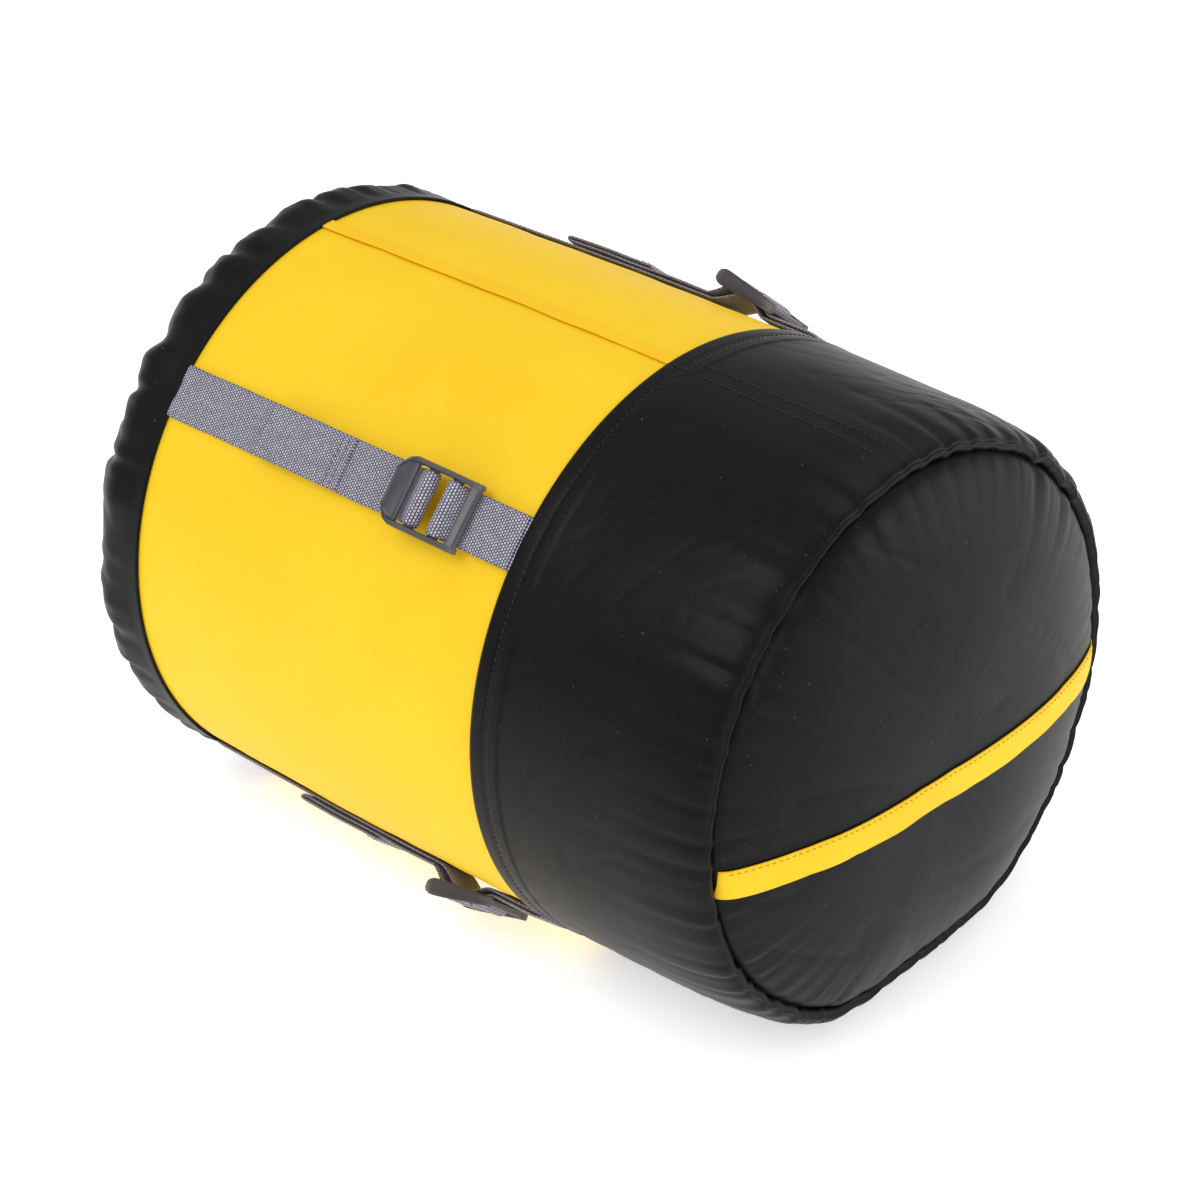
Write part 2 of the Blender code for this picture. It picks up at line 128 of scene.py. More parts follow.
def fixNormals(item):
    tool = bmesh.new()
    tool.from_mesh(item.data)
    bmesh.ops.recalc_face_normals(tool, faces=tool.faces)
    tool.to_mesh(item.data)
    tool.free()


def gridFaces(rows, columns, closed):
    faces = []
    for i in range(rows - 1):
        for j in range(columns if closed else columns - 1):
            k = (j + 1) % columns
            faces.append((i * columns + j, i * columns + k, (i + 1) * columns + k, (i + 1) * columns + j))
    return faces


# A closed skin: skinAt(place, angle, lift) is a point, lift is its height over the outer surface.
def shell(name, places, angles, skinAt, wall):
    count = len(angles)
    points = [skinAt(place, angle, 0.0) for place in places for angle in angles]
    points += [skinAt(place, angle, -wall) for place in reversed(places) for angle in angles]
    rows = 2 * len(places)
    faces = gridFaces(rows, count, True)
    last = (rows - 1) * count
    for j in range(count):
        k = (j + 1) % count
        faces.append((last + j, last + k, k, j))
    item = meshObject(name, points, faces)
    fixNormals(item)
    return item


def spread(low, high, count):
    return [low + (high - low) * k / (count - 1) for k in range(count)]


def around(count, start=0.0):
    return [start + 2 * math.pi * k / count for k in range(count)]


# Materials

# Adds one node; links maps its input names or numbers to other nodes' outputs or to values.
def addNode(material, kind, links=None, **settings):
    node = material.node_tree.nodes.new("ShaderNode" + kind)
    for key, value in settings.items():
        setattr(node, key, value)
    for key, source in (links or {}).items():
        if isinstance(source, bpy.types.NodeSocket):
            material.node_tree.links.new(source, node.inputs[key])
        else:
            node.inputs[key].default_value = source
    return node


def newMaterial(name):
    material = bpy.data.materials.new(name)
    material.use_nodes = True
    return material, material.node_tree.nodes["Principled BSDF"]


def link(material, source, target):
    material.node_tree.links.new(source, target)


def colorRamp(material, factor, stops):
    node = addNode(material, "ValToRGB", {0: factor})
    elements = node.color_ramp.elements
    while len(elements) < len(stops):
        elements.new(0.5)
    for element, (place, color) in zip(elements, stops):
        element.position = place
        element.color = color
    return node.outputs["Color"]


# Coated nylon taffeta, plain woven: an even, slightly silky skin with soft crumples and a little dust.
# Its real threads are 0.3 mm apart; they are drawn three times as coarse, so that they show.
def taffeta(name, dark, light, roughness, crumple, gloss=0.32, threadPitch=0.9 * mm):
    material, shader = newMaterial(name)
    place = addNode(material, "TexCoord").outputs["Object"]
    cloud = addNode(material, "TexNoise", {"Vector": place, "Scale": 14.0, "Detail": 4.0,
                                           "Roughness": 0.55})
    base = colorRamp(material, cloud.outputs[0], [(0.3, linear(dark)), (0.7, linear(light))])
    speck = addNode(material, "TexNoise", {"Vector": place, "Scale": 900.0, "Detail": 1.0})
    dusty = addNode(material, "MapRange", {0: speck.outputs[0], 1: 0.77, 2: 0.84, 3: 0.0, 4: 0.3})
    mixed = addNode(material, "Mix", {0: dusty.outputs[0], 6: base, 7: linear("#9a9a98")}, data_type="RGBA")
    link(material, mixed.outputs[2], shader.inputs["Base Color"])
    waveScale = math.pi / (10 * threadPitch)
    waves = [addNode(material, "TexWave", {"Vector": place, "Scale": waveScale}, bands_direction=axis)
             for axis in ("X", "Z")]
    weave = addNode(material, "Math", {0: waves[0].outputs[1], 1: waves[1].outputs[1]}, operation="MULTIPLY")
    fold = addNode(material, "TexNoise", {"Vector": place, "Scale": 55.0, "Detail": 5.0, "Roughness": 0.6,
                                          "Distortion": 0.6})
    soft = addNode(material, "Bump", {"Height": fold.outputs[0], "Distance": crumple, "Strength": 0.5})
    fine = addNode(material, "Bump", {"Height": weave.outputs[0], "Distance": 0.03 * mm, "Strength": 0.3,
                                      "Normal": soft.outputs[0]})
    link(material, fine.outputs[0], shader.inputs["Normal"])
    rough = addNode(material, "MapRange", {0: cloud.outputs[0], 3: roughness - 0.06, 4: roughness + 0.06})
    link(material, rough.outputs[0], shader.inputs["Roughness"])
    shader.inputs["IOR"].default_value = 1.45
    shader.inputs["Specular IOR Level"].default_value = gloss
    return material


# Nylon webbing, woven: ribs of pale bundles across the strap with dark gaps between them, laid out by
# each strap's own lengths. Its bundles are 1 mm apart.
def webbing(name):
    material, shader = newMaterial(name)
    place = addNode(material, "Attribute", attribute_name="weave").outputs["Vector"]
    parts = addNode(material, "SeparateXYZ", {0: place})
    crosswise = addNode(material, "CombineXYZ", {0: parts.outputs[1], 1: parts.outputs[0]})
    pitch = 1.0 * mm
    bricks = addNode(material, "TexBrick", {"Vector": crosswise.outputs[0], "Scale": 1.0,
                                            "Color1": linear("#c6c2d2"), "Color2": linear("#aaa6b8"),
                                            "Mortar": linear("#0d0b15"), "Mortar Size": 0.21 * mm,
                                            "Mortar Smooth": 0.6, "Brick Width": 1.2 * pitch,
                                            "Row Height": pitch, "Bias": 0.0},
                     offset=0.5, offset_frequency=2)
    edge = addNode(material, "Math", {0: parts.outputs[1]}, operation="ABSOLUTE")
    edgeDark = addNode(material, "MapRange", {0: edge.outputs[0], 1: 9.2 * mm, 2: 10 * mm, 3: 1.0, 4: 0.7})
    tinted = addNode(material, "VectorMath", {0: bricks.outputs["Color"], "Scale": edgeDark.outputs[0]},
                     operation="SCALE")
    link(material, tinted.outputs[0], shader.inputs["Base Color"])
    height = addNode(material, "Math", {0: bricks.outputs["Fac"], 1: -1.0, 2: 1.0},
                     operation="MULTIPLY_ADD")
    strandPitch = 0.3 * mm
    strand = addNode(material, "Math", {0: parts.outputs[1], 1: math.pi * 2 / strandPitch},
                     operation="MULTIPLY")
    ridge = addNode(material, "Math", {0: strand.outputs[0]}, operation="SINE")
    coarse = addNode(material, "Bump", {"Height": height.outputs[0], "Distance": 0.3 * mm, "Strength": 0.8})
    fine = addNode(material, "Bump", {"Height": ridge.outputs[0], "Distance": 0.03 * mm, "Strength": 0.5,
                                      "Normal": coarse.outputs[0]})
    link(material, fine.outputs[0], shader.inputs["Normal"])
    shader.inputs["Roughness"].default_value = 0.6
    return material


# Injection-moulded acetal with a fine spark-eroded skin; its sharp convex edges are drawn paler.
def moulded(name, color, lighter, roughness):
    material, shader = newMaterial(name)
    place = addNode(material, "TexCoord").outputs["Object"]
    grain = addNode(material, "TexNoise", {"Vector": place, "Scale": 2600.0, "Detail": 2.0})
    broad = addNode(material, "TexNoise", {"Vector": place, "Scale": 120.0, "Detail": 3.0})
    edgeSharpness = addNode(material, "NewGeometry").outputs["Pointiness"]
    base = colorRamp(material, broad.outputs[0], [(0.3, linear(color)), (0.75, linear(lighter))])
    # Sharp convex edges (high pointiness) are mixed towards a paler grey.
    paleEdges = addNode(material, "MapRange", {0: edgeSharpness, 1: 0.52, 2: 0.62, 3: 0.0, 4: 0.35})
    mixed = addNode(material, "Mix", data_type="RGBA")
    link(material, paleEdges.outputs[0], mixed.inputs[0])
    link(material, base, mixed.inputs[6])
    mixed.inputs[7].default_value = linear("#8a888d")
    link(material, mixed.outputs[2], shader.inputs["Base Color"])
    bump = addNode(material, "Bump", {"Height": grain.outputs[0], "Distance": 0.04 * mm, "Strength": 0.5})
    link(material, bump.outputs[0], shader.inputs["Normal"])
    rough = addNode(material, "MapRange", {0: broad.outputs[0], 3: roughness - 0.05, 4: roughness + 0.08})
    link(material, rough.outputs[0], shader.inputs["Roughness"])
    return material


# Twisted polyester sewing thread.
def thread(name, color):
    material, shader = newMaterial(name)
    place = addNode(material, "TexCoord").outputs["Object"]
    twist = addNode(material, "TexNoise", {"Vector": place, "Scale": 3000.0, "Detail": 1.0})
    base = colorRamp(material, twist.outputs[0], [(0.3, tuple(0.6 * c for c in linear(color)[:3]) + (1,)),
                                                  (0.7, linear(color))])
    link(material, base, shader.inputs["Base Color"])
    shader.inputs["Roughness"].default_value = 0.55
    return material


# Braided nylon cord: small crossing strands.
def braid(name, color):
    material, shader = newMaterial(name)
    place = addNode(material, "TexCoord").outputs["Object"]
    cells = addNode(material, "TexVoronoi", {"Vector": place, "Scale": 900.0})
    base = colorRamp(material, cells.outputs["Distance"], [(0.1, linear(color)), (0.6, linear("#0a0a0b"))])
    link(material, base, shader.inputs["Base Color"])
    bump = addNode(material, "Bump", {"Height": cells.outputs["Distance"], "Distance": 0.2 * mm,
                                      "Strength": 0.6}, invert=True)
    link(material, bump.outputs[0], shader.inputs["Normal"])
    shader.inputs["Roughness"].default_value = 0.6
    return material


# Drawn spring steel wire.
def springWire(name):
    material, shader = newMaterial(name)
    place = addNode(material, "TexCoord").outputs["Object"]
    drawn = addNode(material, "TexNoise", {"Vector": place, "Scale": 1500.0, "Detail": 2.0})
    rough = addNode(material, "MapRange", {0: drawn.outputs[0], 3: 0.22, 4: 0.42})
    link(material, rough.outputs[0], shader.inputs["Roughness"])
    shader.inputs["Base Color"].default_value = linear("#b9b9bd")
    shader.inputs["Metallic"].default_value = 1.0
    return material


finishes = {
    "yellow": taffeta("yellow nylon taffeta", "#efc20e", "#f4ca1c", 0.6, 0.4 * mm),
    "seamYellow": taffeta("yellow nylon felled seam", "#eebb08", "#f4c410", 0.6, 0.3 * mm),
    "stripe": taffeta("yellow nylon tape", "#efbe0c", "#f5c918", 0.6, 0.25 * mm),
    "black": taffeta("black coated nylon taffeta", "#08080a", "#0c0c0e", 0.40, 0.35 * mm, 0.15),
    "webbing": webbing("grey nylon webbing, woven"),
    "lock": moulded("charcoal acetal, moulded", "#2e2c32", "#38363c", 0.42),
    "cordLock": moulded("black acetal, moulded", "#1b1b1d", "#242427", 0.36),
    "blackThread": thread("black polyester thread", "#202024"),
    "yellowThread": thread("yellow polyester thread", "#d9a60e"),
    "greyThread": thread("grey polyester thread", "#8d8a98"),
    "cord": braid("black braided nylon cord", "#2b2b2e"),
    "wire": springWire("drawn spring steel"),
}


def finish(item, material):
    item.data.materials.clear()
    item.data.materials.append(finishes[material])
    return item


print("materials done")


# The sack's outline, as in the frame

sack = {
    "radius": 112 * mm,         # at the collar seam
    "belly": 1.5 * mm,          # extra radius halfway along
    "sag": 8 * mm,              # flattened underside
    "corner": 36 * mm,          # rounded base end of the sleeve
    "cornerDrop": 7 * mm,
    "wall": 1.0 * mm,
    "layerGap": 0.3 * mm,
    "softEdge": 5 * mm,         # rounding where the underside meets the sides
    "pucker": 1.5 * mm,         # depth of the sewn-in gathers at the base seam
    "puckers": 58,
}


def sackRadius(x):
    straight = baseX - sack["corner"]
    bulge = sack["belly"] * math.sin(math.pi * min(max((x - mouthSeamX) / (straight - mouthSeamX), 0), 1))
    q = min(max((x - straight) / sack["corner"], 0), 1)
    return sack["radius"] + bulge - sack["cornerDrop"] * (1 - math.sqrt(1 - q * q))


def flatLevel(radius):
    share = min(radius / sack["radius"], 1)
    return min(axisZ, radius - sack["sag"] * share ** 3)


# z kept above -level, with a rounded edge.
def softFloor(z, level, depth):
    soft = sack["softEdge"]
    floor = -level + depth
    if z > floor + soft:
        return z
    if z < floor - soft:
        return floor
    t = (z - floor + soft) / (2 * soft)
    return floor + soft * t * t


# A point depth inside the skin whose outer radius is radius.
def ringPoint(x, radius, angle, depth=0.0):
    reach = radius - depth
    z = softFloor(reach * math.sin(angle), flatLevel(radius), depth)
    return Vector((x, reach * math.cos(angle), axisZ + z))


# Smooth noise round the sack, between -1 and 1.
def ruffle(angle, x, scale, seed):
    return noise.noise(Vector((math.cos(angle) * scale, math.sin(angle) * scale, x * 40 + seed)))


# Yellow tube
tubeSetup = {
    "rise": 0.45 * mm,      # soft unevenness of the taut fabric
    "bulge": 1.6 * mm,      # how far the stuffed fabric swells between two straps
    "seamPull": 0.8 * mm,   # small gathers beside the collar seam
    "rows": 90,
    "around": 288,
}


def buildTube(setup):
    inset = sack["wall"] + sack["layerGap"]

    def skinAt(x, angle, lift):
        fromSeam = x - mouthSeamX
        near = math.exp(-fromSeam / (14 * mm))
        wave = setup["rise"] * ruffle(angle, x * 0.35, 2.2, 3.0)
        wave += 0.25 * mm * ruffle(angle + x * 9, x * 0.8, 7.0, 9.0)
        between = smooth((abs(math.sin(2 * angle + math.pi / 2)) - 0.25) / 0.75)
        lengthwise = math.sin(math.pi * min(max(fromSeam / (hemX - mouthSeamX), 0), 1))
        above = smooth(0.6 + math.sin(angle)) * smooth((abs(angle - math.pi / 2) - 0.04) / 0.15)
        uneven = 0.35 + 0.9 * ruffle(angle, x * 0.6, 2.6, 21.0)
        wave += setup["bulge"] * between * lengthwise * above * uneven
        wave += setup["seamPull"] * near * (ruffle(angle, 0, 14.0, 1.0) - 0.3)
        edge = smooth((hemX - x) / (12 * mm)) * smooth((x - collarEdgeX - 7 * mm) / (14 * mm))
        depth = inset - lift - wave * edge
        return ringPoint(x, sackRadius(x), angle, depth)

    places = spread(mouthSeamX, tubeBox[1].x, setup["rows"])
    tube = shell("tube_fabric", places, around(setup["around"]), skinAt, sack["wall"])
    finish(tube, "yellow")
    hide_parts("body_tube")
    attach(tube, "sack")
    squashWithMouth(tube)


def squashWithMouth(item):
    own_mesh(item)


buildTube(tubeSetup)
print("tube done")


# Bands: strips of fabric or webbing laid along the sack

# path is a centre line of (x, radius); the band has rounded edges and stores its own lengths.
def band(name, path, width, wall, angle, crown=0.0, columns=9, wobble=0.0, seed=0.0):
    outward = Vector((0, math.cos(angle), math.sin(angle)))
    side = Vector((0, -math.sin(angle), math.cos(angle)))
    half = wall / 2
    sides = spread(-1, 1, columns)
    section = [(t * width / 2, half) for t in sides[1:-1]]
    edge = width / 2 - half * 0.6
    section = [(-edge, half * 0.55)] + section + [(edge, half * 0.55)]
    loop = section + [(width / 2, 0)] + [(v, -h) for v, h in reversed(section)] + [(-width / 2, 0)]
    points = []
    along = []
    length = 0.0
    for i, (x, radius) in enumerate(path):
        before = path[max(i - 1, 0)]
        after = path[min(i + 1, len(path) - 1)]
        if i:
            length += math.dist(path[i], path[i - 1])
        run = Vector((after[0] - before[0], after[1] - before[1])).normalized()
        normal = Vector((-run.y, run.x))
        for v, h in loop:
            sway = wobble * noise.noise(Vector((length * 45, seed, 0.0)))
            s = x + normal.x * h
            r = radius + normal.y * h + crown * (1 - (2 * v / width) ** 2)
            points.append(Vector((s, 0, axisZ)) + outward * r + side * (v + sway))
            along.append((length, v, h))
    count = len(loop)
    faces = gridFaces(len(path), count, True)
    faces.append(tuple(reversed(range(count))))
    faces.append(tuple(range((len(path) - 1) * count, len(path) * count)))
    item = meshObject(name, points, faces, along)
    fixNormals(item)
    return item


def tubeRadius(x):
    return sackRadius(x) - sack["wall"] - sack["layerGap"]


seamSetup = {
    "width": 6 * mm,
    "wall": 0.7 * mm,
    "lift": 0.6 * mm,       # middle of the fold above the tube
    "crown": 0.15 * mm,     # rounding across the fold
    "wander": 0.5 * mm,     # how far it strays sideways
    "tuck": 3 * mm,         # carried on under the collar and the hem
}


def buildSideSeam(setup):
    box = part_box("side_seam")
    places = spread(box[0].x - setup["tuck"], box[1].x + setup["tuck"], 60)
    path = [(x, tubeRadius(x) + setup["lift"]) for x in places]
    seam = band("side_seam_fold", path, setup["width"], setup["wall"], math.pi / 2, setup["crown"], 9,
                setup["wander"], 4.0)
    finish(seam, "seamYellow")
    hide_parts("side_seam")
    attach(seam, "sack")
    squashWithMouth(seam)


buildSideSeam(seamSetup)


# Stitches

# A row of sunk thread stitches along a path of points, with the surface normal at each.
def stitches(name, path, normals, material, body, pitch=2.6 * mm, gap=0.9 * mm, radius=0.22 * mm):
    lengths = [0.0]
    for first, second in zip(path, path[1:]):
        lengths.append(lengths[-1] + (second - first).length)

    def at(distance):
        distance = min(max(distance, 0), lengths[-1])
        low = 0
        high = len(lengths) - 1
        while high - low > 1:
            mid = (low + high) // 2
            if lengths[mid] <= distance:
                low = mid
            else:
                high = mid
        share = (distance - lengths[low]) / max(lengths[high] - lengths[low], 1e-9)
        return path[low].lerp(path[high], share), normals[low].lerp(normals[high], share).normalized()

    points = []
    faces = []
    total = int(lengths[-1] / pitch)
    for n in range(total):
        start = (n + 0.5) * lengths[-1] / total - (pitch - gap) / 2
        first = len(points)
        steps = 5
        for k in range(steps):
            share = k / (steps - 1)
            centre, normal = at(start + (pitch - gap) * share)
            ahead, _ = at(start + (pitch - gap) * share + 0.2 * mm)
            run = (ahead - centre)
            run = run.normalized() if run.length > 1e-7 else Vector((1, 0, 0))
            across = run.cross(normal).normalized()
            lift = radius * (1.5 * math.sin(math.pi * share) - 0.7)
            thick = radius * (0.55 + 0.45 * math.sin(math.pi * share))
            for j in range(6):
                q = 2 * math.pi * j / 6
                raised = normal * (lift + thick * math.sin(q))
                points.append(centre + raised + across * thick * math.cos(q))
        faces += [tuple(first + corner for corner in face) for face in gridFaces(steps, 6, True)]
        faces.append(tuple(first + j for j in reversed(range(6))))
        faces.append(tuple(first + (steps - 1) * 6 + j for j in range(6)))
    item = meshObject(name, points, faces)
    fixNormals(item)
    finish(item, material)
    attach(item, body)
    return item


# Black sleeve
sleeveSetup = {
    "hemFold": 12 * mm,        # width of the turned hem
    "hemRise": 0.35 * mm,      # the hem's second layer
    "stitchInset": 6.7 * mm,   # stitch row from the hem edge
    "wrinkle": 0.9 * mm,
    "rows": 110,
    "around": 480,
}


# Radial gathers beside the base seam, fading over reach.
def baseGather(angle, distance, reach, seed):
    fade = math.exp(-distance / reach)
    patchy = smooth(0.5 + 1.1 * ruffle(angle, 0, 4.0, seed + 2))
    valley = abs(math.cos(sack["puckers"] / 2 * angle + 2.5 * ruffle(angle, 0, 3.0, seed)))
    fold = (0.5 - 1.1 * (1 - valley) ** 2) * patchy
    fold += 1.1 * ruffle(angle, 0, 13.0, seed + 5)
    return fold * fade


# Long slanting creases in the taut coated cloth.
def crease(angle, x, seed):
    slant = angle * 0.112 * 0.8 + x
    value = noise.noise(Vector((slant * 55, (angle * 0.112 - x) * 14, seed)))
    sharp = 1 - min(abs(value) * 7, 1)
    patch = smooth(0.5 + 1.5 * noise.noise(Vector((angle * 2.1, x * 16, seed + 11))))
    return sharp * sharp * patch


def sleeveSkin(x, angle, lift):
    curl = max(x - baseX, 0)
    if curl:
        turn = min(curl / (3.5 * mm), 1) * math.radians(150)
        edge = sleeveSkin(baseX - 1e-6, angle, 0.0)
        inward = (1.3 * mm - lift * 0.6) * (1 - math.cos(turn)) - lift * 0.4 * smooth(curl / (0.5 * mm))
        flat = Vector((0, edge.y, edge.z - axisZ))
        flat -= flat.normalized() * (inward + (lift < 0) * sack["wall"] * (1 - smooth(curl / (0.5 * mm))))
        return Vector((baseX + 1.1 * mm * math.sin(turn) - 2.2 * mm * (curl / (3.5 * mm)) ** 2 + lift * 0.3,
                       flat.y, axisZ + flat.z))
    fromHem = x - hemX
    fromBase = max(baseX - x, 0)
    wave = sack["pucker"] * baseGather(angle, fromBase, 17 * mm, 2.0) * 0.9
    wave += sleeveSetup["wrinkle"] * 0.5 * ruffle(angle + 3 * x, x * 0.4, 3.0, 6.0)
    wave -= 0.32 * mm * crease(angle, x, 1.5) + 0.2 * mm * crease(angle * 1.7, x, 8.5)
    wave *= smooth(fromHem / (16 * mm))
    fold = sleeveSetup["hemRise"] * (1 - smooth((fromHem - sleeveSetup["hemFold"]) / (1.2 * mm)))
    stitch = 0.25 * mm * math.exp(-((fromHem - sleeveSetup["stitchInset"]) / (1.1 * mm)) ** 2)
    edge = 0.4 * mm * math.exp(-(fromHem / (0.5 * mm)) ** 2)
    depth = -lift - wave - fold + stitch + edge
    return ringPoint(x, sackRadius(x), angle, max(depth, -0.7 * mm - lift))


def buildSleeve(setup):
    straight = baseX - sack["corner"]
    places = spread(hemX, hemX + 14 * mm, 22)[:-1] + spread(hemX + 14 * mm, straight, 34)[:-1]
    places += [straight + sack["corner"] * math.sin(math.radians(a)) for a in spread(0, 88, 40)]
    places += [baseX + step for step in spread(0.2 * mm, 3.5 * mm, 10)]
    sleeve = shell("sleeve_fabric", places, around(setup["around"]), sleeveSkin, sack["wall"])
    finish(sleeve, "black")
    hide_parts("base_sleeve")
    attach(sleeve, "sack")
    row = hemX + setup["stitchInset"]
    angles = around(720)
    path = [sleeveSkin(row, a, 0.05 * mm) for a in angles + angles[:1]]
    normals = [Vector((0, math.cos(a), math.sin(a))) for a in angles + angles[:1]]
    stitches("hem_stitches", path, normals, "blackThread", "sack")
    for number, offset in enumerate((-3.2 * mm, 3.2 * mm)):
        line = spread(hemX + 2 * mm, baseX - 10 * mm, 120)
        turn = math.pi / 2 + offset / sack["radius"]
        path = [sleeveSkin(x, turn, 0.05 * mm) for x in line]
        stitches("side_stitches_%d" % number, path, [Vector((0, 0, 1))] * len(path), "blackThread",
                 "sack")


buildSleeve(sleeveSetup)
print("sleeve done")


# Base panel and stripe

baseSetup = {
    "rise": 18 * mm,            # bulge of the panel
    "groove": 4.5 * mm,         # the seam is pinched this far below the panel's edge
    "lip": 0.4 * mm,
    "stripeWidth": 11 * mm,
    "stripeDrop": 6.2 * mm,     # upper edge below the axis
    "tilt": math.radians(-5),
    "wrinkle": 1.1 * mm,
}


def panelRim(angle):
    inset = sack["wall"] + 1.6 * mm
    radius = sackRadius(baseX) - inset
    level = flatLevel(sackRadius(baseX)) - inset
    return Vector((radius * math.cos(angle), softFloor(radius * math.sin(angle), level, 0.0)))


def panelPoint(share, angle, lift):
    rim = panelRim(angle)
    distance = (1 - share) * rim.length
    wave = 0.8 * sack["pucker"] * baseGather(angle, distance, 9 * mm, 2.0) * smooth(distance / (2.5 * mm))
    flat = rim * share
    broad = noise.noise(Vector((flat.x * 18, flat.y * 18, 3.3)))
    wave += baseSetup["wrinkle"] * broad * smooth(distance / (30 * mm))
    slant = flat.x * 0.8 + flat.y
    value = noise.noise(Vector((slant * 36, (flat.x - flat.y) * 9, 7.7)))
    wave -= 0.3 * mm * (1 - min(abs(value) * 6, 1)) ** 2 * smooth(distance / (12 * mm))
    sunk = baseSetup["groove"] * math.exp(-distance / (1.8 * mm))
    x = baseX + baseSetup["lip"] - sunk + baseSetup["rise"] * (1 - share ** 3) + lift + wave
    return Vector((x, flat.x, axisZ + flat.y))


def buildPanel():
    shares = [1 - 0.25 * (k / 30) for k in range(31)] + [0.75 * (1 - k / 28) for k in range(1, 28)]
    angles = around(480)
    count = len(angles)
    points = [panelPoint(share, angle, 0.0) for share in shares for angle in angles]
    points += [panelPoint(share, angle, -sack["wall"]) for share in shares for angle in angles]
    half = len(shares) * count
    skin = gridFaces(len(shares), count, True)
    faces = skin + [tuple(i + half for i in reversed(face)) for face in skin]
    points += [panelPoint(0.0, 0.0, 0.0), panelPoint(0.0, 0.0, -sack["wall"])]
    inner = half - count
    for j in range(count):
        k = (j + 1) % count
        faces.append((j, k, half + k, half + j))
        faces.append((inner + j, inner + k, 2 * half))
        faces.append((half + inner + k, half + inner + j, 2 * half + 1))
    panel = meshObject("base_disc_fabric", points, faces)
    fixNormals(panel)
    finish(panel, "black")
    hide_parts("base_panel_upper", "base_panel_lower")
    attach(panel, "sack")


def onPanel(alongStripe, across, lift):
    tilt = baseSetup["tilt"]
    y = alongStripe * math.cos(tilt) - across * math.sin(tilt)
    z = alongStripe * math.sin(tilt) + across * math.cos(tilt)
    angle = math.atan2(z, y)
    for _ in range(4):
        rim = panelRim(angle)
        angle += math.atan2(z, y) - math.atan2(rim.y, rim.x)
    return panelPoint(math.hypot(y, z) / panelRim(angle).length, angle, lift)


def buildStripe():
    upper = -baseSetup["stripeDrop"]
    lower = upper - baseSetup["stripeWidth"]
    rim = panelRim(0).x
    half = math.sqrt(rim ** 2 - lower ** 2) - 0.5 * mm
    rows = spread(-half, half, 160)
    columns = spread(0, 1, 13)
    points = []
    for place in rows:
        loose = 0.5 + 0.9 * (0.5 + noise.noise(Vector((place * 60, 2.0, 0.0))))
        for top in (True, False):
            for share in (columns if top else columns[::-1]):
                sway = share * 1.1 * mm * noise.noise(Vector((place * 38, 8.0, 0.0)))
                across = upper + (lower - upper) * share + sway
                lift = (0.35 + 0.5 * loose * share ** 2 + 0.25 * math.sin(math.pi * share)) * mm
                points.append(onPanel(place, across, lift + (0.55 * mm if top else 0)))
    count = 2 * len(columns)
    faces = gridFaces(len(rows), count, True)
    faces.append(tuple(reversed(range(count))))
    faces.append(tuple(range((len(rows) - 1) * count, len(rows) * count)))
    stripe = meshObject("stripe_tape", points, faces)
    fixNormals(stripe)
    finish(stripe, "stripe")
    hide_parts("base_stripe")
    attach(stripe, "sack")
    line = spread(-half + 2 * mm, half - 2 * mm, 200)
    path = [onPanel(place, upper - 1.3 * mm, 1.05 * mm) for place in line]
    stitches("stripe_stitches", path, [Vector((1, 0, 0))] * len(path), "yellowThread",
             "sack")


buildPanel()
buildStripe()
print("base done")


# Gathered collar
collarSetup = {
    "pleats": 34,
    "depth": 1.25 * mm,       # height of the gathers
    "shoulder": 26 * mm,
    "mouth": 34 * mm,         # circle of the drawcord channel
    "channel": 3.4 * mm,      # radius of the channel round the cord
    "around": 900,
}


# Centre line of the collar's cloth as (x, radius), from its edge over the shoulder to the channel.
def collarLine():
    half = sack["wall"] / 2
    rim = sack["radius"] - half
    shoulder = collarSetup["shoulder"]
    line = [(x, sackRadius(x) - half) for x in spread(collarEdgeX, mouthSeamX, 8)]
    start = -0.2 * shoulder
    for a in spread(6, 90, 16):
        q = math.radians(a)
        s = start - (shoulder - half + start) * math.sin(q)
        line.append((mouthSeamX + s, rim - 0.2 * sack["radius"] * (1 - math.cos(q))))
    mouth = collarSetup["mouth"]
    loop = collarSetup["channel"]
    edge = line[-1][1]
    for r in spread(edge, mouth + loop * 0.77, 18)[1:-1]:
        line.append((mouthSeamX - shoulder + half + 0.5 * mm * (edge - r) / (edge - mouth), r))
    centre = mouthSeamX - shoulder + half + loop
    for k in range(14):
        q = math.radians(50 - 22 * k)
        line.append((centre - loop * math.cos(q), mouth + loop * math.sin(q)))
    return line


def gatherPhase(angle):
    slow = 0.09 * math.sin(3 * angle + 1.0) + 0.08 * math.sin(5 * angle)
    return angle + slow + 0.05 * math.sin(9 * angle + 2)


